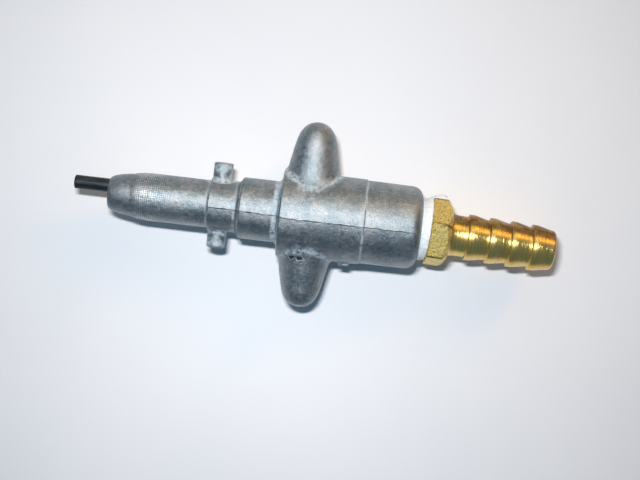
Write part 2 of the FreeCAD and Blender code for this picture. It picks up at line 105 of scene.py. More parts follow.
# ------------------------------ the hose barb, close to the CAD
THREAD_END_U, THREAD_GAUGE_U, THREAD_R, THREAD_DEPTH = -5.5, 6.0, 6.85, 0.85
THREAD_PITCH, THREAD_TURNS, THREAD_TAPER = 1.411, 8, 1 / 32
THREAD_FORM = ((-0.81, THREAD_DEPTH), (-0.6, THREAD_DEPTH), (-0.12, 0), (0.12, 0))  # from the crest, depth
NECK_R = 6.0
HEX_U0, HEX_U1, HEX_FLATS, HEX_CORNER_ANGLE = 7.75, 12.55, 14.29, 9.5
HEX_FACE_R, HEX_CHAMFER, HEX_FRONT_BEVEL = 6.2, 35.0, 0.25
TAIL_ROOT_R, TAIL_SMALL_R, TAIL_CREST_R = 4.76, 4.66, 5.37
TAIL_FIRST_CREST_U, TAIL_PITCH, TAIL_CRESTS, TAIL_CREST_LAND = 16.75, 5.0, 4, 1.3
TAIL_END_U, TAIL_END_EDGE, TAIL_BORE_R, TAIL_BORE_EDGE = 37.3, 0.85, 3.5, 0.25
TAIL_FLARE = ((0.02, 0.75), (0.1, 0.5), (0.3, 0.3), (0.8, 0.16), (1.5, 0.05), (2.2, 0.0))  # from the hexagon
BARB_FOOT = ((-0.32, 0), (-0.2, 0.04), (-0.1, 0.2))  # from where the crest starts, above the foot
BARB_CREST = ((-0.04, -0.12), (0.03, -0.03), (0.12, 0))  # from where the crest starts, against its radius
BARB_EDGE_X, BARB_EDGE = 0.2, 0.02
SHADE_SIDE_ANGLE, SHADE_SIDE_SPREAD = 18.0, 28.0  # painted shade: the tail is painted browner along one side, at this angle up from +Y

# ------------------------------ the tape, squeezed out beside the hexagon
TAPE_OUTSIDE = ((4.7, 6.92), (5.7, 6.97), (5.95, 7.1), (6.2, 7.18), (6.5, 7.22), (6.8, 7.24), (7.1, 7.24),
                (7.4, 7.2), (7.6, 7.08), (7.7, 6.85))
TAPE_INSIDE = ((7.7, 6.3), (7.55, 6.06), (6.4, 6.06), (6.15, 6.87), (4.7, 6.86))
TAPE_LOOSE_FROM = 2  # the outside wrinkles from this point on
TAPE_RAISED, TAPE_SUNK = 0.62, 0.25
TAPE_FOLD, TAPE_CREASE = 0.05, 0.07
CRACK_U, CRACK_ANGLE, CRACK_LEAN, CRACK_WIDTH, CRACK_DEPTH = 6.75, 150.0, 1.4, 0.16, 0.3
FLAP_PATH = ((6.2, 7.3), (6.8, 7.7), (7.4, 8.1), (8.0, 8.34), (8.7, 8.48), (9.3, 8.7), (9.9, 8.9),
             (10.4, 8.9), (10.7, 8.7), (10.55, 8.5))
FLAP_SHARES, FLAP_WIDTHS = (0, 0.5, 0.85, 1), (3.2, 2.4, 1.7, 1.0)
FLAP_THICKNESS, FLAP_SKEW, FLAP_DROOP, FLAP_Z = 0.06, 0.3, 0.684, -0.4


# ------------------------------ distance fields
def arc(centre, radius, start, end, steps=7):
    """Points on an arc, angles in degrees."""
    angles = np.radians(np.linspace(start, end, steps))
    return [(centre[0] + radius * math.cos(a), centre[1] + radius * math.sin(a)) for a in angles]


def casting_outline():
    """(x, r) points of the casting's outer half section, closed below the axis."""
    rear_r, front_r = BARREL_REAR_CORNER, BARREL_FRONT_FILLET
    edge, land_edge, collar_edge, root = 0.45, 0.35, 0.25, 0.35
    points = [(NOSE_TIP_X, -3), (NOSE_TIP_X, NOSE_TIP_R), *NOSE_CORNER, *NOSE_CONE, *NOSE_KNEE]
    points += [(NOSE_LAND_X, NOSE_R)]
    points += arc((COLLAR_X - root, NOSE_R + root), root, -90, 0, 5)
    points += arc((COLLAR_X + collar_edge, COLLAR_R - collar_edge), collar_edge, 150, 90, 4)
    points += arc((LAND_X - LAND_FILLET, COLLAR_R + LAND_FILLET), LAND_FILLET, -90, -4)
    points += arc((LAND_X + land_edge, LAND_R - land_edge), land_edge, 150, 90, 4)
    points += arc((-front_r, LAND_R + front_r), front_r, -90, 0)
    points += arc((edge, BARREL_R - edge), edge, 180, 90)
    points += [(BARREL_STEP_X - 0.15, BARREL_STEP_R), (BARREL_STEP_X, BARREL_STEP_R - BARREL_STEP)]
    points += arc((BARREL_REAR_X - rear_r, BARREL_TAIL_R - rear_r), rear_r, 90, 0, 14)
    return points + [(BARREL_REAR_X, -3)]


def wing_outline():
    """(distance from the axis, radius) points of a wing's half section: a taper that rounds to the tip."""
    foot_y, steps = 6.5, 48
    y = WING_TIP_Y - (WING_TIP_Y - foot_y) * np.linspace(0, 1, steps) ** 2
    into_round = np.maximum(0, (y - WING_ROUND_Y) / (WING_TIP_Y - WING_ROUND_Y))
    radius = (WING_R + WING_TAPER * (WING_R_Y - y)) * np.sqrt(1 - into_round ** WING_BLUNTNESS)
    return [(WING_TIP_Y, -2), *zip(y.tolist(), radius.tolist()), (foot_y - 4, radius[-1]), (foot_y - 4, -2)]


def lug_outline():
    """(distance from the axis, radius) points of a lug's half section."""
    edge = 0.4
    tip = arc((LUG_TIP_Y - edge, LUG_R - edge), edge, 0, 90, 6)
    return [(LUG_TIP_Y, -1)] + tip + [(2, LUG_R), (2, -1)]


def outline_distance(points, a, b):
    """Signed distance from the points (a, b) to a closed outline, negative inside."""
    nearest = np.full(a.shape, np.inf)
    inside = np.zeros(a.shape, bool)
    for (a0, b0), (a1, b1) in zip(points, points[1:] + points[:1]):
        da, db = a1 - a0, b1 - b0
        along = np.clip(((a - a0) * da + (b - b0) * db) / (da * da + db * db), 0, 1)
        nearest = np.minimum(nearest, np.hypot(a - a0 - along * da, b - b0 - along * db))
        if db:
            inside ^= ((b0 > b) != (b1 > b)) & (a < a0 + da * (b - b0) / db)
    return np.where(inside, -nearest, nearest)


class Turned:
    """The distance to a turned shape, looked up in a fine table over its half section."""

    STEP, MARGIN = 0.06, 3.0

    def __init__(self, points):
        low = min(a for a, b in points) - self.MARGIN
        high = max(a for a, b in points) + self.MARGIN
        top = max(b for a, b in points) + self.MARGIN
        along = np.arange(low, high, self.STEP)
        out = np.arange(0, top, self.STEP)
        self.low = low
        self.table = outline_distance(points, *np.meshgrid(along, out, indexing="ij"))

    def __call__(self, along, out):
        a = np.clip((along - self.low) / self.STEP, 0, self.table.shape[0] - 1.001)
        b = np.clip(out / self.STEP, 0, self.table.shape[1] - 1.001)
        i, j = a.astype(int), b.astype(int)
        s, t = a - i, b - j
        near = self.table[i, j] * (1 - t) + self.table[i, j + 1] * t
        far = self.table[i + 1, j] * (1 - t) + self.table[i + 1, j + 1] * t
        return near * (1 - s) + far * s


def round_union(one, other, radius):
    """The union of two distance fields with a fillet of that radius between them."""
    corner = np.hypot(np.maximum(radius - one, 0), np.maximum(radius - other, 0))
    return np.maximum(radius, np.minimum(one, other)) - corner


def fade(value, at, width):
    """A smooth step from 0 to 1 at that value, or from 1 to 0 if the width is negative."""
    return 1 / (1 + np.exp(-(value - at) / width))


def waves(p, seed, count, longest, shortest):
    """A smooth, uneven field between about -1 and 1: a sum of seeded sine waves."""
    rng = np.random.default_rng(seed)
    total = 0
    for length in np.geomspace(longest, shortest, count):
        direction = rng.normal(size=3)
        direction *= 2 * math.pi / length / np.linalg.norm(direction)
        phase = rng.uniform(0, 2 * math.pi)
        total = total + np.sin(p[0] * direction[0] + p[1] * direction[1] + p[2] * direction[2] + phase)
    return total / math.sqrt(count)


class Casting:
    """The distance field of the casting's outer surface."""

    def __init__(self):
        self.body = Turned(casting_outline())
        self.wing = Turned(wing_outline())
        self.lug = Turned(lug_outline())
        self.pits = []  # so that the heights below are the unpitted surface's
        self.pits = [(x, y, self.top(x, y), radius) for x, y, radius in PITS]

    def top(self, x, y):
        """The surface's height above the axis at x, y."""
        steps = 400
        z = np.linspace(BARREL_R, 0, steps)
        distance = self(np.stack([np.full(steps, x), np.full(steps, y), z]))
        return float(z[np.argmax(distance < 0)])

    def __call__(self, p):
        body, wing, lug = self.parts(p)
        distance = round_union(body, wing, WING_FILLET)
        distance = round_union(distance, lug, LUG_FILLET)
        distance = round_union(distance, self.gate(p), GATE_FILLET)
        uneven = UNEVENNESS * waves(p, seed=3, count=9, longest=9.0, shortest=1.6)
        distance = distance - self.flash(p) - uneven
        return np.maximum(distance, -self.pit_distance(p))

    def parts(self, p):
        """The distances to the turned body, to the nearer wing and to the nearer lug."""
        x, y, z = p
        side = np.abs(y)
        wing = self.wing(side, np.hypot(x - WING_X, z))
        return self.body(x, np.hypot(y, z)), wing, self.lug(side, np.hypot(x - LUG_X, z))

    def foot(self, p):
        """How close a point of the surface is to the foot of a wing or lug, from 0 to 1."""
        body, wing, lug = self.parts(p)
        from_wing_foot = np.abs(wing - body - WING_FOOT_OFFSET) / WING_FOOT_WIDTH
        from_lug_foot = np.abs(lug - body) / LUG_FOOT_WIDTH
        return np.clip(1 - np.minimum(from_wing_foot, from_lug_foot), 0, 1)

    def pit_distance(self, p):
        """The distance to the nearest of the small round pits, negative inside it."""
        nearest = np.full(p[0].shape, np.inf)
        for x, y, z, radius in self.pits:
            away = np.sqrt((p[0] - x) ** 2 + (p[1] - y) ** 2 + (p[2] - z) ** 2)
            nearest = np.minimum(nearest, away - radius)
        return nearest

    @staticmethod
    def gate(p):
        """The rough stub where the casting's gate was broken off."""
        q = [np.abs(v - c) - s + GATE_EDGE for v, c, s in zip(p, GATE_CENTRE, GATE_SIZE)]
        outside = np.sqrt(sum(np.maximum(v, 0) ** 2 for v in q))
        rough = 0.12 * waves(p, seed=11, count=5, longest=2.4, shortest=0.9)
        return outside + np.minimum(np.maximum(np.maximum(q[0], q[1]), q[2]), 0) - GATE_EDGE - rough

    @staticmethod
    def flash(p):
        """The raised lines on the parting plane and round the barrel, where parts of the die met."""
        x, y, z = p
        wander = 0.10 * np.sin(x * 0.9 + 1.0) + 0.07 * np.sin(x * 2.3)
        on_cast = fade(x, COLLAR_X, 0.15) * fade(x, FLASH_END_X, -0.5)
        line = np.exp(-(((y - wander) / FLASH_WIDTH) ** 2)) * on_cast
        more_on_barrel = 0.4 + 0.6 * fade(x, 0.0, 0.3)
        draft = np.exp(-np.abs(y) / DRAFT_WIDTH) * on_cast * more_on_barrel * (np.hypot(y, z) > NOSE_R)
        ring = RING_HEIGHT * Casting.ring(p, RING_WIDTH)
        return FLASH_HEIGHT * (line + ring) + DRAFT_HEIGHT * draft

    @staticmethod
    def ring(p, width):
        """The uneven ring round the barrel, 1 on its crest and fading over that width."""
        x, y, z = p
        angle = np.arctan2(z, y)
        ring_x = BARREL_STEP_X - 0.2 + 0.12 * np.sin(3 * angle + 0.6) + 0.06 * np.sin(8 * angle)
        return np.exp(-(((x - ring_x) / width) ** 2))


def gradient(field, p, step=0.03):
    """The field's slope by central differences."""
    slopes = []
    for axis in range(3):
        ahead, behind = p.copy(), p.copy()
        ahead[axis] += step
        behind[axis] -= step
        slopes.append((field(ahead) - field(behind)) / (2 * step))
    return np.array(slopes)


def surface_net(axes, value):
    """Points and quads through a sampled field's zero level, with one point in each cell that it crosses."""
    cells = np.array(value.shape) - 1
    total = np.zeros((*cells, 3))
    count = np.zeros(cells)
    rings = []
    for axis in range(3):
        others = [k for k in range(3) if k != axis]
        low = np.moveaxis(np.moveaxis(value, axis, 0)[:-1], 0, axis)
        high = np.moveaxis(np.moveaxis(value, axis, 0)[1:], 0, axis)
        edge = np.argwhere((low < 0) != (high < 0))
        at = tuple(edge.T)
        share = low[at] / (low[at] - high[at])
        point = np.stack([axes[k][edge[:, k]] for k in range(3)], axis=1)
        point[:, axis] += share * (axes[axis][edge[:, axis] + 1] - axes[axis][edge[:, axis]])
        ring = []
        for back_a, back_b in ((0, 0), (1, 0), (1, 1), (0, 1)):
            cell = edge.copy()
            cell[:, others[0]] -= back_a
            cell[:, others[1]] -= back_b
            np.add.at(total, tuple(cell.T), point)
            np.add.at(count, tuple(cell.T), 1)
            ring.append(np.ravel_multi_index(tuple(cell.T), cells))
        ring = np.stack(ring, axis=1)
        flip = (low[at] < 0) == (axis == 1)
        ring[flip] = ring[flip][:, ::-1]
        rings.append(ring)
    used = count.ravel() > 0
    number = np.cumsum(used) - 1
    points = total.reshape(-1, 3)[used] / count.ravel()[used, None]
    return points, number[np.concatenate(rings)]


def planes(*stretches):
    """Grid positions from (start, end, spacing) stretches that follow on from each other."""
    parts = [np.linspace(a, b, max(2, round((b - a) / step) + 1))[:-1] for a, b, step in stretches]
    return np.concatenate(parts + [[stretches[-1][1]]])


# ------------------------------ mesh helpers
def new_piece(name, points, faces, smooth_angle=35.0):
    """A mesh object from points in millimetres, smooth except at sharp corners."""
    mesh = bpy.data.meshes.new(name)
    mesh.from_pydata((np.asarray(points, float) * MM).tolist(), [], [list(map(int, f)) for f in faces])
    mesh.validate()
    mesh.polygons.foreach_set("use_smooth", np.ones(len(mesh.polygons), bool))
    mesh.set_sharp_from_angle(angle=math.radians(smooth_angle))
    piece = bpy.data.objects.new(name, mesh)
    bpy.context.scene.collection.objects.link(piece)
    return piece


def grid_faces(rows, columns, close_rows=False):
    """Quads between rows of points that each close into a ring."""
    faces = []
    for row in range(rows if close_rows else rows - 1):
        below, above = row * columns, (row + 1) % rows * columns
        for column in range(columns):
            after = (column + 1) % columns
            faces.append((below + column, below + after, above + after, above + column))
    return faces


def tube_faces(rows, columns):
    """Quads between rows of points that each close into a ring, and a flat end on the first and last row."""
    last = (rows - 1) * columns
    ends = [list(range(columns))[::-1], list(range(last, last + columns))]
    return grid_faces(rows, columns) + ends


def turned_over(faces):
    """The same faces, seen from the other side."""
    return [face[::-1] for face in faces]


def ring_points(stations, segments, start_angle=0.0):
    """Points of rings round X. A station is (x, radius), and the radius may be one value for each angle."""
    angles = math.radians(start_angle) + np.linspace(0, 2 * math.pi, segments, endpoint=False)
    points = []
    for x, radius in stations:
        r = np.broadcast_to(radius, segments)
        rows = (np.broadcast_to(x, segments), r * np.cos(angles), r * np.sin(angles))
        points.append(np.stack(rows, axis=1))
    return np.concatenate(points)


def lathe(name, stations, segments=96, start_angle=0.0):
    """A closed ring-shaped solid from stations that go once round its half section, the outside first."""
    points = ring_points(stations, segments, start_angle)
    return new_piece(name, points, grid_faces(len(stations), segments, close_rows=True))


def solid_lathe(name, stations, segments=96):
    """A turned solid with no bore; its first and last stations become flat ends."""
    return new_piece(name, ring_points(stations, segments), tube_faces(len(stations), segments))


def place(piece, matrix):
    """Moves a piece's mesh, so that the object itself stays at the origin."""
    piece.data.transform(matrix)
    return piece


def port_place():
    """From the leaning axis of the port, with its own zero at the pivot, to the nozzle's frame."""
    return Matrix.Translation((PORT_PIVOT_X * MM, 0, 0)) @ Matrix.Rotation(math.radians(PORT_LEAN), 4, "Z")


def carve(piece, tools):
    """Cuts closed tool shapes out of a piece."""
    for tool in tools:
        cut = piece.modifiers.new("cut", "BOOLEAN")
        cut.operation = "DIFFERENCE"
        cut.solver = "EXACT"
        cut.object = tool
    depsgraph = bpy.context.evaluated_depsgraph_get()
    mesh = bpy.data.meshes.new_from_object(piece.evaluated_get(depsgraph))
    piece.modifiers.clear()
    piece.data = mesh
    for tool in tools:
        bpy.data.objects.remove(tool)


def add_attribute(mesh, name, values):
    """Gives each point of the mesh a value that a material can read."""
    layer = mesh.attributes.new(name, "FLOAT", "POINT")
    layer.data.foreach_set("value", np.asarray(values, np.float32))


def mesh_points(mesh):
    """The mesh's points in millimetres, as three rows."""
    flat = np.empty(len(mesh.vertices) * 3)
    mesh.vertices.foreach_get("co", flat)
    return flat.reshape(-1, 3).T / MM


# ------------------------------ the casting
def casting_grid():
    """Sampling planes that crowd together at the steps and on the parting plane."""
    fine, middle, coarse = 0.11, 0.22, 0.36
    xs = planes(
        (NOSE_TIP_X - 0.6, -39.0, 0.14), (-39.0, -17.5, coarse), (-17.5, -16.2, fine),
        (-16.2, -11.9, middle), (-11.9, -10.6, coarse), (-10.6, -8.7, fine), (-8.7, -1.5, coarse),
        (-1.5, 0.8, fine), (0.8, 13.5, 0.3), (13.5, 18.9, 0.32), (18.9, 20.2, 0.09), (20.2, 30.4, coarse),
        (30.4, BARREL_REAR_X + 0.6, 0.2),
    )
    half = planes((0.4, 10.8, 0.3), (10.8, WING_TIP_Y + 1.0, 0.36))
    ys = np.concatenate([-half[:0:-1], planes((-0.4, 0.4, 0.07)), half[1:]])
    zs = planes((-10.9, 10.9, 0.3))
    return xs, ys, zs


def rod_guide_tool():
    """The hole that the rod slides in."""
    tool = solid_lathe("guide_tool", [(x, ROD_GUIDE_R) for x in END_WALL_CUT], 48)
    return place(tool, Matrix.Translation((0, ROD_Y * MM, 0)))


def outlet_tool():
    """The kidney-shaped slot beside the rod."""
    half, steps = OUTLET_SPAN / 2, 24
    inner, outer = OUTLET_R - OUTLET_WIDTH / 2, OUTLET_R + OUTLET_WIDTH / 2
    lean = math.radians(half)
    ends = [(-OUTLET_R * math.cos(lean), s * OUTLET_R * math.sin(lean)) for s in (1, -1)]
    loop = [(-outer * math.cos(a), outer * math.sin(a)) for a in np.radians(np.linspace(-half, half, steps))]
    loop += arc(ends[0], OUTLET_WIDTH / 2, 180 - half, -half, 10)[1:-1]
    loop += [(-inner * math.cos(a), inner * math.sin(a)) for a in np.radians(np.linspace(half, -half, steps))]
    loop += arc(ends[1], OUTLET_WIDTH / 2, half, half - 180, 10)[1:-1]
    points = [(x, y, z) for x in END_WALL_CUT for y, z in loop]
    return new_piece("outlet_tool", points, turned_over(tube_faces(2, len(loop))))


def inside_tools():
    """Closed shapes for every hollow of the casting."""
    segments, passage_end_x = 128, 22.0
    bores = ((END_WALL_X, SEAT_X, PASSAGE_R), (SEAT_X, CHAMBER_X, SEAT_R), (CHAMBER_X, SNAP_X, CHAMBER_R),
             (SNAP_X, SNAP_X + SNAP_WIDTH, SNAP_R), (SNAP_X + SNAP_WIDTH, passage_end_x, CHAMBER_R))
    stations = []
    for start, end, radius in bores:
        stations += [(start + CUT_STEP if stations else start, radius), (end, radius)]
    passage = solid_lathe("passage_tool", stations, segments)
    mouth_u = BARREL_REAR_X - PORT_PIVOT_X
    stations = [(PORT_BOTTOM_U, PORT_R - PORT_TAPER), (mouth_u - PORT_MOUTH_DEPTH, PORT_R)]
    stations += [(mouth_u + 0.1, PORT_MOUTH_R), (mouth_u + 2, PORT_TOOL_R)]
    port = solid_lathe("port_tool", stations, segments)
    return [passage, place(port, port_place()), rod_guide_tool(), outlet_tool()]


def settle(field, p):
    """Moves points onto the field's zero level in a few careful steps."""
    steps, pull, least_slope = 4, 0.8, 0.2
    for _ in range(steps):
        slope = gradient(field, p)
        p -= pull * field(p) * slope / np.maximum((slope ** 2).sum(axis=0), least_slope)


def mark_wear_and_pit_shade(mesh, field):
    """Marks where the casting is hollow or edged and where its feet and ring are, and marks its pits for
    painted shade.
    """
    skin_depth, reach_in, pit_fade = 0.08, 0.5, 0.15
    p = mesh_points(mesh)
    outward = gradient(field, p)
    outward /= np.maximum(np.linalg.norm(outward, axis=0), 0.2)
    skin = np.abs(field(p)) < skin_depth
    hollow = np.zeros(p.shape[1])
    for reach in (0.6, 1.2, 2.2):
        hollow = np.maximum(hollow, 1 - field(p + outward * reach) / reach)
    edge = 1 + field(p - outward * reach_in) / reach_in
    add_attribute(mesh, "hollow", np.clip(hollow, 0, 1) * skin)
    add_attribute(mesh, "edge", np.clip(edge, 0, 1) * skin)
    # painted shade: a share for darkening the pits
    add_attribute(mesh, "pit_shade", np.clip(1 - field.pit_distance(p) / pit_fade, 0, 1))
    add_attribute(mesh, "foot", field.foot(p) * skin)
    add_attribute(mesh, "ring", field.ring(p, RING_STAIN_WIDTH) * skin)


def make_casting():
    """The die-cast body, with its fillets, parting flash, gate stub and pits."""
    field = Casting()
    axes = casting_grid()
    value = field(np.array(np.meshgrid(*axes, indexing="ij")))
    points, quads = surface_net(axes, value)
    p = points.T.copy()
    settle(field, p)
    piece = new_piece("casting", p.T, quads, 50)
    carve(piece, inside_tools())
    mark_wear_and_pit_shade(piece.data, field)
    return piece


# ------------------------------ the brass hose barb
def hexagon_radius(angles, flats, sharpness=200.0):
    """The radius of a hexagon with slightly rounded corners, at each angle from one corner."""
    total = 0
    for side in range(6):
        total = total + np.maximum(np.cos(angles - math.radians(30 + 60 * side)), 0) ** sharpness
    return flats / 2 / total ** (1 / sharpness)


def thread_stations():
    """The thread's rings from the end of the shank to the neck."""
    start_r = THREAD_R - THREAD_DEPTH + (THREAD_END_U - THREAD_GAUGE_U) * THREAD_TAPER
    stations = [(THREAD_END_U, start_r - 0.3), (THREAD_END_U + 0.3, start_r)]
    for turn in reversed(range(THREAD_TURNS)):
        crest_u = THREAD_GAUGE_U - 0.9 - turn * THREAD_PITCH
        for offset, depth in THREAD_FORM:
            u = crest_u + offset
            if u > THREAD_END_U + 0.4:
                stations.append((u, THREAD_R - depth + (u - THREAD_GAUGE_U) * THREAD_TAPER))
    return stations + [(THREAD_GAUGE_U, THREAD_R - 0.1), (THREAD_GAUGE_U + 0.3, NECK_R)]


def tail_stations():
    """The hose tail: a flared root, then barbs that each have a flat top and fall away towards the end."""
    stations = [(HEX_U1 + along, TAIL_ROOT_R + rise) for along, rise in TAIL_FLARE]
    foot_r = TAIL_ROOT_R
    for step in range(TAIL_CRESTS):
        u = TAIL_FIRST_CREST_U + step * TAIL_PITCH
        top = u + TAIL_CREST_LAND
        stations += [(u + along, foot_r + rise) for along, rise in BARB_FOOT]
        stations += [(u + along, TAIL_CREST_R + rise) for along, rise in BARB_CREST]
        stations += [(top - BARB_EDGE_X, TAIL_CREST_R), (top, TAIL_CREST_R - BARB_EDGE)]
        last = step == TAIL_CRESTS - 1
        slope_end = TAIL_END_U - TAIL_END_EDGE if last else u + TAIL_PITCH + BARB_FOOT[0][0]
        for share in (0.25, 0.5, 0.75):
            fall = share * (TAIL_CREST_R - TAIL_SMALL_R)
            stations.append((top + share * (slope_end - top), TAIL_CREST_R - BARB_EDGE - fall))
        foot_r = TAIL_SMALL_R
    end = arc((TAIL_END_U - TAIL_END_EDGE, TAIL_SMALL_R - TAIL_END_EDGE), TAIL_END_EDGE, 88, 4, 9)
    return stations + end + [(TAIL_END_U, TAIL_BORE_R + TAIL_BORE_EDGE)]


def hexagon_stations(angles):
    """The hexagon's rings, bevelled a little at the front and more at the back."""
    corner = hexagon_radius(angles, HEX_FLATS)
    full = HEX_FLATS / 2 / math.cos(math.radians(30))
    slope = 1 / math.tan(math.radians(HEX_CHAMFER))
    bevel = (full - HEX_FACE_R) / slope
    front = full - HEX_FRONT_BEVEL
    stations = [(HEX_U0, NECK_R), (HEX_U0, NECK_R + 0.6), (HEX_U0, np.minimum(corner, front) - 0.05)]
    for back in (0.06, 0.14, HEX_FRONT_BEVEL):
        stations.append((HEX_U0 + back, np.minimum(corner, front + back)))
    for forward in np.linspace(bevel, 0, 14):
        stations.append((HEX_U1 - forward, np.minimum(corner, HEX_FACE_R + slope * forward)))
    return stations + [(HEX_U1, HEX_FACE_R - 0.25), (HEX_U1, TAIL_ROOT_R + 1.0)]


def make_hose_barb():
    """The turned adaptor: tapered thread, hexagon and barbed tail, bored right through."""
    segments = 240
    angles = np.linspace(0, 2 * math.pi, segments, endpoint=False)
    outside = thread_stations() + hexagon_stations(angles) + tail_stations()
    bore = [(TAIL_END_U - TAIL_BORE_EDGE, TAIL_BORE_R)]
    bore += [(u, TAIL_BORE_R) for u in np.linspace(TAIL_END_U - 4, THREAD_END_U + 4, 10)]
    bore += [(THREAD_END_U + TAIL_BORE_EDGE, TAIL_BORE_R), (THREAD_END_U, TAIL_BORE_R + TAIL_BORE_EDGE)]
    piece = lathe("hose_barb_brass", outside + bore, segments, HEX_CORNER_ANGLE)
    u, v, w = mesh_points(piece.data)
    turned = np.degrees(np.arctan2(w, v))
    off_corner = np.abs((turned - HEX_CORNER_ANGLE + 30) % 60 - 30)
    add_attribute(piece.data, "hexagon", (u > HEX_U0 - 0.1) & (u < HEX_U1 + 0.01))
    # painted shade: a share that darkens the hexagon's corners
    add_attribute(piece.data, "corner", np.clip(1.5 - off_corner / 2.0, 0, 1))
    # painted shade: a share that paints one side of the tail darker brown
    add_attribute(piece.data, "painted_shade_side", np.clip(1.6 - np.abs(turned - SHADE_SIDE_ANGLE) / SHADE_SIDE_SPREAD, 0, 1))
    return place(piece, port_place())


# ------------------------------ tape, rod and spring
def tape_wrinkle(u, angles, folds):
    """The height of the tape's folds and creases round one ring."""
    slant = 0.6 * np.sin(angles * 4 + u * 1.7) + 0.4 * np.sin(angles * 11 - u * 2.9)
    crease = np.abs(np.sin(angles * 1.5 + u * 2.2 + folds)) ** 0.5
    return TAPE_FOLD * (folds + slant) + TAPE_CREASE * (crease - 1)


def tape_crack(u, angles):
    """How close a ring's points are to the slanting crack, from 0 to 1."""
    across = u - CRACK_U - CRACK_LEAN * (angles - math.radians(CRACK_ANGLE))
    return np.exp(-((across / CRACK_WIDTH) ** 2))


def make_tape():
    """Thread tape squeezed out in a wrinkled roll in front of the hexagon, with one loose end."""
    segments = 300
    raised_angle, sunk_angle = 0.3, math.radians(205)
    bulge_from_u, bulge_over, fold_shift = 5.9, 1.5, 0.04
    angles = np.linspace(0, 2 * math.pi, segments, endpoint=False)
    rng = np.random.default_rng(21)
    folds = 0
    for count in (2, 3, 5, 9, 14, 23, 37):
        folds = folds + rng.uniform(0.3, 1) * np.sin(count * angles + rng.uniform(0, 6.28))
    folds = folds / 3.0
    raised = np.maximum(0, np.cos(angles - raised_angle))
    sunk = np.maximum(0, np.cos(angles - sunk_angle))
    stations = []
    for index, (u, r) in enumerate(TAPE_OUTSIDE + TAPE_INSIDE):
        loose = 1.0 if TAPE_LOOSE_FROM <= index < len(TAPE_OUTSIDE) else 0.0
        towards_hexagon = np.clip((u - bulge_from_u) / bulge_over, 0, 1)
        bulge = towards_hexagon * (TAPE_RAISED * raised - TAPE_SUNK * sunk)
        wrinkle = tape_wrinkle(u, angles, folds) - CRACK_DEPTH * tape_crack(u, angles) * (sunk > 0.1)
        stations.append((u + loose * fold_shift * folds, r + loose * (bulge + wrinkle)))
    roll = lathe("tape_roll", stations, segments)
    join_pieces(roll, [tape_flap()])
    roll.name = "thread_tape"
    return place(roll, port_place())


def tape_flap():
    """The free end of the tape: a thin ribbon that rises off the roll over the hexagon's corner and curls."""
    across = np.linspace(-0.5, 0.5, 9)
    rows, columns = len(FLAP_PATH), len(across)
    widths = np.interp(np.linspace(0, 1, rows), FLAP_SHARES, FLAP_WIDTHS)
    points = []
    for lift in (FLAP_THICKNESS / 2, -FLAP_THICKNESS / 2):
        for (u, y), width in zip(FLAP_PATH, widths):
            for s in across:
                ripple = 0.09 * math.sin(9 * s + u * 2.1) + 0.05 * math.sin(17 * s - u)
                height = y + ripple - FLAP_DROOP * s ** 2 + lift
                points.append((u + FLAP_SKEW * s, height, s * width + FLAP_Z))
    return new_piece("tape_flap", points, sheet_faces(rows, columns), 60)


def sheet_faces(rows, columns):
    """The faces of a thin sheet whose upper points all come before its lower ones."""
    size = rows * columns
    faces = []
    for row in range(rows - 1):
        for column in range(columns - 1):
            a = row * columns + column
            upper = (a + 1, a + columns + 1, a + columns, a)
            faces += [upper, tuple(size + corner for corner in upper[::-1])]
    rim = list(range(columns)) + [row * columns + columns - 1 for row in range(1, rows)]
    rim += [(rows - 1) * columns + column for column in range(columns - 2, -1, -1)]
    rim += [row * columns for row in range(rows - 2, 0, -1)]
    for a, b in zip(rim, rim[1:] + rim[:1]):
        faces.append((size + a, size + b, b, a))
    return faces


def join_pieces(piece, others):
    """Joins other meshes into a piece."""
    with bpy.context.temp_override(active_object=piece, selected_editable_objects=[piece] + others):
        bpy.ops.object.join()


def make_rod():
    """The part of the valve rod from its rounded tip to its stepped tail."""
    edge, chamfer = 0.3, 0.2
    nose_x = -30.0  # one ring inside the nose divides the long plain stretch
    stations = [(ROD_TIP_X, ROD_R - 0.42)] + arc((ROD_TIP_X + edge, ROD_R - edge), edge, 170, 90, 6)
    stations += [(ROD_TIP_X + 0.9, ROD_R), (nose_x, ROD_R), (ROD_SHOULDER_X - 0.02, ROD_R)]
    stations += [(ROD_SHOULDER_X, ROD_R - 0.1), (ROD_SHOULDER_X, ROD_TAIL_R)]
    stations += [(ROD_TAIL_X - chamfer, ROD_TAIL_R), (ROD_TAIL_X, ROD_TAIL_R - chamfer)]
    rod = solid_lathe("rod", stations, 72)
    rod.name = "black_rod"
    return place(rod, Matrix.Translation((0, ROD_Y * MM, 0)))


def make_spring():
    """The return spring with closed ends, between the valve disc and the spring seat."""
    steps, sides = 560, 14
    end_climb = 0.04  # how far a closed end turn climbs, against all the open turns
    turn = np.linspace(0, SPRING_TURNS, steps)
    open_turns = np.clip((turn - 1) / (SPRING_TURNS - 2), 0, 1)
    end_turns = np.clip(turn, 0, 1) + np.clip(turn - SPRING_TURNS + 1, 0, 1)
    climb = (open_turns + end_climb * end_turns) / (1 + 2 * end_climb)
    x = SPRING_X0 + SPRING_WIRE_R + climb * (SPRING_X1 - SPRING_X0 - 2 * SPRING_WIRE_R)
    points = []
    for t, cx in zip(turn, x):
        a = 2 * math.pi * t
        for side in range(sides):
            b = 2 * math.pi * side / sides
            r = SPRING_R + SPRING_WIRE_R * math.cos(b)
            points.append((cx + SPRING_WIRE_R * math.sin(b), r * math.cos(a), r * math.sin(a)))
    return new_piece("coil_spring", points, turned_over(tube_faces(steps, sides)))


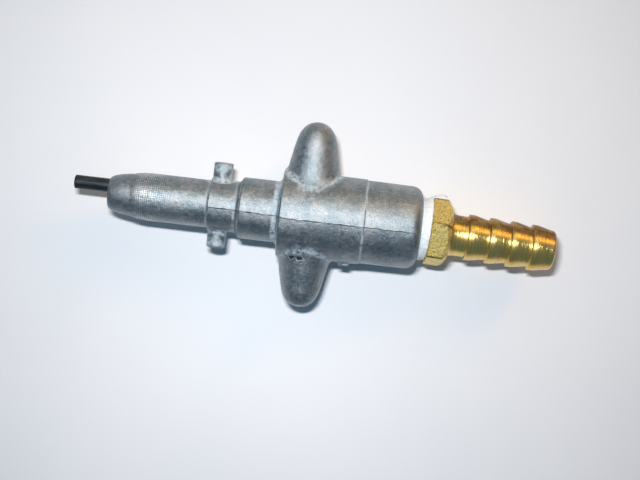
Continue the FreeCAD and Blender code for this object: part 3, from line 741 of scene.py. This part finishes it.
# ------------------------------ materials
class Shader:
    """A node material with short ways to add and join nodes."""

    def __init__(self, name):
        self.material = bpy.data.materials.new(name)
        self.material.use_nodes = True
        self.nodes = self.material.node_tree.nodes
        self.links = self.material.node_tree.links
        self.surface = self.nodes["Principled BSDF"]
        coordinates = self.nodes.new("ShaderNodeTexCoord")
        scale = self.nodes.new("ShaderNodeMapping")
        scale.inputs["Scale"].default_value = (1000, 1000, 1000)
        self.join(coordinates.outputs["Object"], scale.inputs["Vector"])
        self.mm = scale.outputs["Vector"]

    def join(self, source, target):
        """Joins a socket, or sets a plain value."""
        if isinstance(source, bpy.types.NodeSocket):
            self.links.new(source, target)
        else:
            target.default_value = source

    def noise(self, size, detail=4.0, roughness=0.55, vector=None, distortion=0.0):
        """Noise whose blotches are about size millimetres across."""
        node = self.nodes.new("ShaderNodeTexNoise")
        self.join(vector or self.mm, node.inputs["Vector"])
        node.inputs["Scale"].default_value = 1 / size
        node.inputs["Detail"].default_value = detail
        node.inputs["Roughness"].default_value = roughness
        node.inputs["Distortion"].default_value = distortion
        return node.outputs["Fac"]

    def math(self, operation, one, other=0.0):
        """One operation on two values or sockets."""
        node = self.nodes.new("ShaderNodeMath")
        node.operation = operation
        self.join(one, node.inputs[0])
        self.join(other, node.inputs[1])
        return node.outputs[0]

    def ramp(self, value, low, high, start=0.0, end=1.0):
        """A value carried from low..high to start..end, without overshoot."""
        node = self.nodes.new("ShaderNodeMapRange")
        node.interpolation_type = "SMOOTHSTEP"
        for target, source in zip(node.inputs[:5], (value, low, high, start, end)):
            self.join(source, target)
        return node.outputs["Result"]

    def mix(self, share, one, other):
        """One colour where the share is 0 and the other where it is 1."""
        node = self.nodes.new("ShaderNodeMix")
        node.data_type = "RGBA"
        self.join(share, node.inputs["Factor"])
        self.join(one, node.inputs["A"])
        self.join(other, node.inputs["B"])
        return node.outputs["Result"]

    def attribute(self, name):
        """A value that the mesh's points carry."""
        node = self.nodes.new("ShaderNodeAttribute")
        node.attribute_name = name
        return node.outputs["Fac"]

    def axes(self):
        """X, Y and Z in millimetres."""
        node = self.nodes.new("ShaderNodeSeparateXYZ")
        self.join(self.mm, node.inputs[0])
        return node.outputs

    def stretched(self, x, y, z):
        """The position in millimetres with each axis scaled."""
        node = self.nodes.new("ShaderNodeMapping")
        self.join(self.mm, node.inputs["Vector"])
        node.inputs["Scale"].default_value = (x, y, z)
        return node.outputs["Vector"]

    def bump(self, height, depth, after=None):
        """Bump of that depth in millimetres."""
        node = self.nodes.new("ShaderNodeBump")
        node.inputs["Strength"].default_value = 1.0
        node.inputs["Distance"].default_value = depth * MM
        self.join(height, node.inputs["Height"])
        if after is not None:
            self.join(after, node.inputs["Normal"])
        return node.outputs["Normal"]

    def finish(self, color, roughness, normal=None, **plain):
        """Joins the looks to the surface; plain values go on the shader's own sockets."""
        self.join(color, self.surface.inputs["Base Color"])
        self.join(roughness, self.surface.inputs["Roughness"])
        if normal is not None:
            self.join(normal, self.surface.inputs["Normal"])
        for name, value in plain.items():
            self.surface.inputs[name.replace("_", " ")].default_value = value
        return self.material


def rgb(red, green, blue):
    """A solid colour."""
    return (red, green, blue, 1.0)


def mottled_grey(s, clouds, mottle, grain):
    """Cloudy bluish grey with lighter and darker mottle and a fine grain."""
    color = s.mix(s.ramp(clouds, 0.36, 0.66), rgb(0.24, 0.285, 0.305), rgb(0.35, 0.365, 0.37))
    color = s.mix(s.ramp(mottle, 0.50, 0.70, 0, 0.6), color, rgb(0.53, 0.53, 0.535))
    color = s.mix(s.ramp(mottle, 0.48, 0.30, 0, 0.6), color, rgb(0.14, 0.16, 0.175))
    color = s.mix(s.ramp(grain, 0.58, 0.76, 0, 0.8), color, rgb(0.80, 0.84, 0.85))
    return s.mix(s.ramp(grain, 0.42, 0.26, 0, 0.65), color, rgb(0.10, 0.12, 0.13))


def chalky_oxide(s):
    """A patchy bloom in the corners, at the feet of the wings and lugs, and on the ring round the barrel."""
    patches = s.ramp(s.noise(0.8, 5, 0.65), 0.34, 0.58, 0.15, 1)
    uneven = s.math("MULTIPLY", s.noise(2.2, 4, 0.6), 1.1)
    feet = s.ramp(s.math("ADD", s.attribute("foot"), uneven), 0.85, 1.55)
    chalk = s.math("MAXIMUM", s.ramp(s.attribute("hollow"), 0.06, 0.38), feet)
    chalk = s.math("MAXIMUM", chalk, s.math("MULTIPLY", s.attribute("ring"), 0.75))
    return s.math("MULTIPLY", chalk, patches)


def turned_dots(s):
    """The turned band behind the nose tip, broken into dots that die away towards the collar."""
    pitch, dots_round = 0.47, 74.0
    x, y, z = s.axes()[:3]
    band = s.math("MULTIPLY", s.ramp(x, -34.2, -33.4), s.ramp(x, -23.5, -31.5))
    turning = s.math("SINE", s.math("MULTIPLY", x, 2 * math.pi / pitch))
    around = s.math("SINE", s.math("MULTIPLY", s.math("ARCTAN2", z, y), dots_round))
    dots = s.math("MULTIPLY", s.ramp(turning, 0.0, 0.9), s.ramp(around, -0.2, 0.9))
    return s.math("MULTIPLY", s.math("MULTIPLY", dots, band), s.ramp(s.noise(1.1, 3), 0.38, 0.5))


def fine_scratches(s, clouds):
    """Scratches along the casting, where the clouds are light."""
    scratch = s.noise(0.5, 2, 0.5, s.stretched(0.16, 1.0, 1.0), 1.2)
    return s.math("MULTIPLY", s.ramp(scratch, 0.66, 0.72), s.ramp(clouds, 0.45, 0.6))


def parting_crack(s):
    """A thin crack that wanders beside the parting line."""
    x, y = s.axes()[:2]
    wander = s.math("MULTIPLY", s.math("SUBTRACT", s.noise(3.0, 2), 0.5), 0.4)
    beside = s.math("ABSOLUTE", s.math("ADD", s.math("SUBTRACT", y, wander), 0.12))
    along = s.math("MULTIPLY", s.ramp(x, COLLAR_X, COLLAR_X + 0.2), s.ramp(x, FLASH_END_X, FLASH_END_X - 2))
    crack = s.math("MULTIPLY", s.ramp(beside, 0.15, 0.05), along)
    return s.math("MULTIPLY", crack, s.ramp(s.noise(1.2, 2), 0.3, 0.5, 0.4, 1))


def cast_zinc():
    """Dull grey casting: mottled, chalky in the corners, brighter on worn edges, scratched and cracked, with
    painted shade in its pits.
    """
    s = Shader("cast_zinc")
    clouds = s.noise(4.5, 3)
    mottle = s.noise(0.9, 5, 0.7)
    grain = s.noise(0.26, 3, 0.7)
    oxide = chalky_oxide(s)
    worn = s.math("MULTIPLY", s.ramp(s.attribute("edge"), 0.2, 0.6), s.ramp(mottle, 0.4, 0.6, 0.2, 1))
    dots = turned_dots(s)
    crack = parting_crack(s)
    color = mottled_grey(s, clouds, mottle, grain)
    color = s.mix(s.math("MULTIPLY", oxide, 0.9), color, rgb(0.54, 0.62, 0.66))
    color = s.mix(s.math("MULTIPLY", worn, 0.4), color, rgb(0.66, 0.70, 0.70))
    color = s.mix(dots, color, rgb(1.0, 1.0, 1.0))
    color = s.mix(s.math("MULTIPLY", fine_scratches(s, clouds), 0.6), color, rgb(0.82, 0.84, 0.84))
    color = s.mix(s.math("MULTIPLY", crack, 0.7), color, rgb(0.06, 0.07, 0.08))
    # painted shade: the pits painted nearly black
    color = s.mix(s.ramp(s.attribute("pit_shade"), 0.2, 0.8), color, rgb(0.02, 0.024, 0.027))
    rough = s.ramp(mottle, 0.3, 0.7, 0.44, 0.54)
    rough = s.math("ADD", rough, s.math("MULTIPLY", oxide, 0.2))
    rough = s.math("SUBTRACT", rough, s.math("MULTIPLY", dots, 0.22))
    normal = s.bump(mottle, 0.08)
    normal = s.bump(grain, 0.085, normal)
    normal = s.bump(s.math("MULTIPLY", crack, -1.0), 0.05, normal)
    s.join(s.ramp(oxide, 0.0, 1.0, 1.0, 0.2), s.surface.inputs["Metallic"])
    return s.finish(color, rough, normal)


def brass_tail(s, rings, broad_rings):
    """Turned brass, painted a darker brown along one side as painted shade."""
    tail = s.mix(s.ramp(broad_rings, 0.35, 0.65), rgb(0.78, 0.52, 0.14), rgb(0.86, 0.62, 0.21))
    tail = s.mix(s.ramp(rings, 0.55, 0.75, 0, 0.6), tail, rgb(0.56, 0.34, 0.08))
    patches = s.ramp(s.noise(1.6, 4, 0.6), 0.3, 0.6, 0.6, 1)
    # painted shade: the darker brown along one side of the tail
    return s.mix(s.math("MULTIPLY", s.attribute("painted_shade_side"), patches), tail, rgb(0.19, 0.08, 0.015))


def brass_hexagon(s, blotch):
    """Blotched brass with dark and light specks, and a dark line of painted shade on each corner."""
    speck = s.noise(0.25, 3, 0.6)
    flat = s.mix(s.ramp(blotch, 0.35, 0.65), rgb(0.82, 0.61, 0.17), rgb(0.98, 0.77, 0.29))
    flat = s.mix(s.ramp(speck, 0.46, 0.36, 0, 0.95), flat, rgb(0.10, 0.08, 0.03))
    flat = s.mix(s.ramp(speck, 0.58, 0.75, 0, 0.7), flat, rgb(0.95, 0.88, 0.58))
    # painted shade: the dark line on each corner of the hexagon
    return s.mix(s.math("MULTIPLY", s.attribute("corner"), 0.8), flat, rgb(0.12, 0.08, 0.03))


def turned_brass():
    """Brass with fine tool rings on the tail and a blotched, duller hexagon."""
    s = Shader("turned_brass")
    hexagon = s.ramp(s.attribute("hexagon"), 0.4, 0.6)
    on_tail = s.math("SUBTRACT", 1.0, hexagon)
    rings = s.noise(0.13, 3, 0.65, s.stretched(1.0, 0.02, 0.02))
    broad_rings = s.noise(0.45, 2, 0.5, s.stretched(1.0, 0.02, 0.02))
    blotch = s.noise(0.8, 5, 0.7)
    color = s.mix(hexagon, brass_tail(s, rings, broad_rings), brass_hexagon(s, blotch))
    smooth = s.ramp(rings, 0.3, 0.7, 0.24, 0.34)
    rough = s.ramp(hexagon, 0, 1, smooth, 0.52)
    normal = s.bump(s.math("MULTIPLY", rings, on_tail), 0.06)
    normal = s.bump(s.math("MULTIPLY", broad_rings, on_tail), 0.02, normal)
    normal = s.bump(s.math("MULTIPLY", blotch, hexagon), 0.10, normal)
    return s.finish(color, rough, normal, Metallic=0.93)


def black_steel():
    """Black-oxide rod, a little shiny, with faint grey streaks along its length."""
    s = Shader("black_steel")
    streaks = s.noise(0.5, 4, 0.6, s.stretched(0.12, 1, 1))
    color = s.mix(s.ramp(streaks, 0.45, 0.75), rgb(0.018, 0.024, 0.028), rgb(0.06, 0.07, 0.07))
    normal = s.bump(s.noise(0.2, 4), 0.015)
    return s.finish(color, s.ramp(streaks, 0.3, 0.7, 0.40, 0.52), normal, Metallic=0.5)


def white_tape():
    """Soft white tape with fine creases, painted bluish grey in their hollows as painted shade."""
    s = Shader("white_tape")
    creases = s.noise(0.5, 5, 0.65, s.stretched(0.6, 1, 1), 0.8)
    # painted shade: bluish grey where the creases' bump is low
    color = s.mix(s.ramp(creases, 0.35, 0.6), rgb(0.78, 0.80, 0.84), rgb(0.95, 0.95, 0.95))
    normal = s.bump(creases, 0.12)
    normal = s.bump(s.noise(0.12, 2), 0.01, normal)
    return s.finish(color, 0.55, normal, Subsurface_Weight=0.25, Subsurface_Scale=0.0006)


def bright_steel():
    """Drawn stainless steel with faint lines."""
    s = Shader("bright_steel")
    lines = s.noise(0.12, 3, 0.6, s.stretched(1, 0.3, 0.3))
    color = s.mix(s.ramp(lines, 0.35, 0.65), rgb(0.42, 0.42, 0.43), rgb(0.66, 0.66, 0.66))
    return s.finish(color, s.ramp(lines, 0.3, 0.7, 0.22, 0.34), s.bump(lines, 0.01), Metallic=1.0)


def white_acetal():
    """Moulded natural acetal."""
    s = Shader("white_acetal")
    clouds = s.noise(1.5, 3)
    color = s.mix(s.ramp(clouds, 0.35, 0.65), rgb(0.78, 0.77, 0.71), rgb(0.88, 0.87, 0.82))
    normal = s.bump(s.noise(0.3, 3), 0.01)
    return s.finish(color, 0.34, normal, Subsurface_Weight=0.15, Subsurface_Scale=0.0008)


def black_rubber():
    """Nitrile rubber with a dusty bloom."""
    s = Shader("black_rubber")
    bloom = s.noise(0.8, 4)
    color = s.mix(s.ramp(bloom, 0.45, 0.7), rgb(0.015, 0.015, 0.016), rgb(0.05, 0.05, 0.052))
    return s.finish(color, s.ramp(bloom, 0.3, 0.7, 0.5, 0.7), s.bump(s.noise(0.15, 3), 0.02))


def paper():
    """The pale floor: matt, with a barely uneven tone."""
    s = Shader("paper")
    tone = s.noise(60.0, 3)
    color = s.mix(s.ramp(tone, 0.3, 0.7), rgb(0.865, 0.862, 0.875), rgb(0.895, 0.890, 0.897))
    return s.finish(color, 0.9, s.bump(s.noise(0.8, 4), 0.02))


def wear(piece, material):
    """Gives the piece that material alone."""
    piece.data.materials.clear()
    piece.data.materials.append(material)


# ------------------------------ camera, floor and lights
LENS, SENSOR = 63.0, 36.0
CAMERA_TARGET = Vector((0.0100, -0.00535, 0.00075))
CAMERA_PLACE = Vector((0.0100, 0.03125, 0.2612))
IMAGE_TILT, CAMERA_PITCH = math.radians(6.7), math.radians(8.0)
FLOOR_HALF = 1.5
# each light: size, power, colour; the key's places are metres to the right of and above the camera's own
KEY_SIZE, KEY_POWER, KEY_COLOR, KEY_SPREAD = (0.034, 0.010), 0.195, (0.93, 0.96, 1.0), 95.0
KEY_RIGHT, KEY_UP, KEY_AIM_RIGHT, KEY_AIM_UP = -0.016, 0.037, -0.012, -0.024
LAMP_PLACE, LAMP_SIZE, LAMP_POWER, LAMP_COLOR = (0.306, 0.432, 0.282), (0.16, 0.16), 0.65, (1.0, 0.46, 0.06)
WALL_PLACE, WALL_SIZE, WALL_POWER, WALL_COLOR = (0.05, 0.42, 0.30), (0.5, 0.25), 0.30, (1.0, 0.88, 0.55)
ROOM_COLOR, ROOM_STRENGTH = rgb(0.38, 0.68, 1.0), 0.185


def turn_towards(direction, up):
    """A rotation that looks along direction with up at the top."""
    back = -direction.normalized()
    right = up.cross(back).normalized()
    true_up = back.cross(right)
    return Matrix((right, true_up, back)).transposed().to_4x4()


def camera_up():
    """The picture's upward direction: across the nozzle, turned by the picture's tilt."""
    slope = Vector((0, math.cos(CAMERA_PITCH), -math.sin(CAMERA_PITCH)))
    return Vector((-math.sin(IMAGE_TILT), 0, 0)) + slope * math.cos(IMAGE_TILT)


def make_camera():
    """The camera looks almost straight down, and a little turned, so that the nozzle slopes to the right."""
    data = bpy.data.cameras.new("camera")
    data.lens, data.sensor_width = LENS, SENSOR
    data.clip_start, data.clip_end = 0.01, 20
    camera = bpy.data.objects.new("camera", data)
    turn = turn_towards(CAMERA_TARGET - CAMERA_PLACE, camera_up())
    camera.matrix_world = Matrix.Translation(CAMERA_PLACE) @ turn
    bpy.context.scene.collection.objects.link(camera)
    bpy.context.scene.camera = camera


def make_floor():
    """A flat square of paper at the nozzle's lowest point."""
    half = FLOOR_HALF / MM
    low = CAD_BOX[0][2] / MM
    corners = [(-half, -half, low), (half, -half, low), (half, half, low), (-half, half, low)]
    floor = new_piece("floor", corners, [(0, 1, 2, 3)])
    wear(floor, paper())


def area_light(name, place_at, size, power, color, aim=CAMERA_TARGET, up=Vector((0, 0.001, 1))):
    """A rectangular light at a place, turned to its aim, which is the nozzle unless another is given."""
    data = bpy.data.lights.new(name, "AREA")
    data.shape = "RECTANGLE"
    data.size, data.size_y = size
    data.energy, data.color = power, color
    light = bpy.data.objects.new(name, data)
    light.matrix_world = Matrix.Translation(place_at) @ turn_towards(aim - place_at, up)
    bpy.context.scene.collection.objects.link(light)
    return data


def light_scene():
    """A small key light above and left of the camera, a warm lamp beyond the tail, a wall and a blue room."""
    up = camera_up().normalized()
    right = (CAMERA_TARGET - CAMERA_PLACE).normalized().cross(up)
    key_place = CAMERA_PLACE + up * KEY_UP + right * KEY_RIGHT
    key_aim = CAMERA_TARGET + up * KEY_AIM_UP + right * KEY_AIM_RIGHT
    key = area_light("key", key_place, KEY_SIZE, KEY_POWER, KEY_COLOR, key_aim, up)
    key.spread = math.radians(KEY_SPREAD)
    area_light("warm_lamp", Vector(LAMP_PLACE), LAMP_SIZE, LAMP_POWER, LAMP_COLOR)
    area_light("wall", Vector(WALL_PLACE), WALL_SIZE, WALL_POWER, WALL_COLOR)
    world = bpy.data.worlds.new("room")
    world.use_nodes = True
    background = world.node_tree.nodes["Background"]
    background.inputs["Color"].default_value = ROOM_COLOR
    background.inputs["Strength"].default_value = ROOM_STRENGTH
    bpy.context.scene.world = world
    bpy.context.scene.view_settings.view_transform = "Standard"


# ------------------------------ putting it together
def main():
    """Makes the camera, floor and lights, then every piece in its material."""
    make_camera()
    make_floor()
    light_scene()
    casting, hose_barb, tape = make_casting(), make_hose_barb(), make_tape()
    rod, spring = make_rod(), make_spring()
    brass, steel = turned_brass(), bright_steel()
    pieces = (
        (casting, "nozzle", "nozzle_body", "cast_zinc", cast_zinc()),
        (hose_barb, "nozzle", "hose_barb", "brass", brass),
        (tape, "nozzle", "sealing_tape", "sealing_tape", white_tape()),
        (rod, "valve", "valve_rod", "black_steel", black_steel()),
        (spring, "nozzle", "return_spring", "spring_steel", steel),
    )
    for piece, body, node, slot, material in pieces:
        wear(piece, material)
        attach(piece, body)
        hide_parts(node)
    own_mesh(spring)
    kept_nodes = {
        "valve_seat": brass,
        "valve_disc": brass,
        "rod_clip": steel,
        "spring_seat": steel,
        "snap_ring": steel,
        "rod_guide": white_acetal(),
        "seal_washer": black_rubber(),
    }
    for node, material in kept_nodes.items():
        wear(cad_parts[node], material)


main()
bpy.context.view_layer.update()
